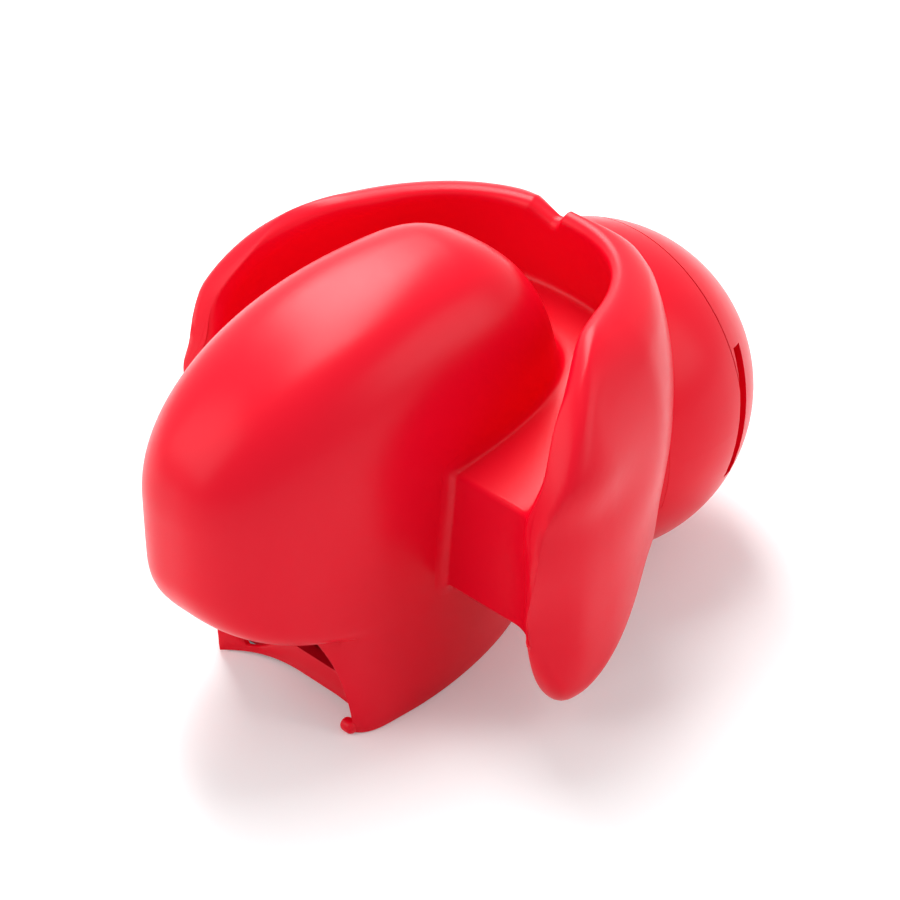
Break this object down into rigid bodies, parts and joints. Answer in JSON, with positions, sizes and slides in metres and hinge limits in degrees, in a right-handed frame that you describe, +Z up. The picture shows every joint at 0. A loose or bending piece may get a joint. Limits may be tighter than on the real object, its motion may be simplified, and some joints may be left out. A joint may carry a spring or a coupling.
{
  "type": "apple peeler corer",
  "caption": "Palm-held apple peeler corer: hood with a peeling mouth, finger guard, and a ball grip whose turning rear cap swings the blade and draws a toothed coring tube.",
  "frame": {"origin": "on the floor, at the flat underside of the belly plate, in the plane of symmetry of the hood", "axes": "+Y from the hood to the ball grip, along the coring tube; +Z up; +X to the right seen from the grip"},
  "size_m": [0.0992, 0.1375, 0.0815],
  "materials": {
    "red_plastic": "satin gloss moulding",
    "steel": "bright zinc",
    "blade_steel": "ground stainless",
    "nylon": "moulded natural nylon"
  },
  "bodies": {
    "body": {"hood_shell": "red_plastic", "belly_plate": "red_plastic", "belly_screws": "steel", "guard_frame": "red_plastic", "cover_right": "red_plastic", "cover_left": "red_plastic", "guard_screws": "steel", "dome_shell": "red_plastic", "dome_screws": "steel", "hub_bush": "nylon", "hub_screws": "steel", "pivot_pin": "steel", "detent_ball": "steel", "detent_spring": "steel", "detent_plug": "steel"},
    "selector": {"selector_sleeve": "nylon", "sleeve_circlip": "steel"},
    "corer": {"palm_cap": "red_plastic", "cap_plate": "red_plastic", "cap_screws": "steel", "coring_tube": "blade_steel", "tube_ferrule": "nylon", "drive_keys": "steel", "tube_ring": "steel"},
    "rod": {"push_rod": "nylon", "cam_pin": "steel"},
    "carrier": {"blade_carrier": "nylon", "crank_pin": "steel"},
    "blade": {"peel_blade": "blade_steel", "blade_trunnions": "steel"}
  },
  "joints": [
    {"name": "dome_twist", "type": "hinge", "parent": "body", "child": "selector", "pos_m": [0, 0.035, 0.033], "axis": [0, 1, 0], "range_deg": [0, 50]},
    {"name": "corer_pull", "type": "slide", "parent": "selector", "child": "corer", "axis": [0, 1, 0], "range_m": [0, 0.072]},
    {"name": "rod_slide", "type": "slide", "parent": "body", "child": "rod", "axis": [0, -1, 0], "range_m": [0, 0.0042]},
    {"name": "blade_swing", "type": "hinge", "parent": "body", "child": "carrier", "pos_m": [0, -0.022, 0.01], "axis": [1, 0, 0], "range_deg": [0, 40.2]},
    {"name": "blade_swivel", "type": "hinge", "parent": "carrier", "child": "blade", "pos_m": [0, -0.03871, 0.02273], "axis": [1, 0, 0], "range_deg": [-12, 12]}
  ],
  "couplings": [
    {"joint": "rod_slide", "follows": "dome_twist", "m_per_rad": 0.0047031},
    {"joint": "blade_swing", "follows": "dome_twist", "ratio": 0.8}
  ]
}
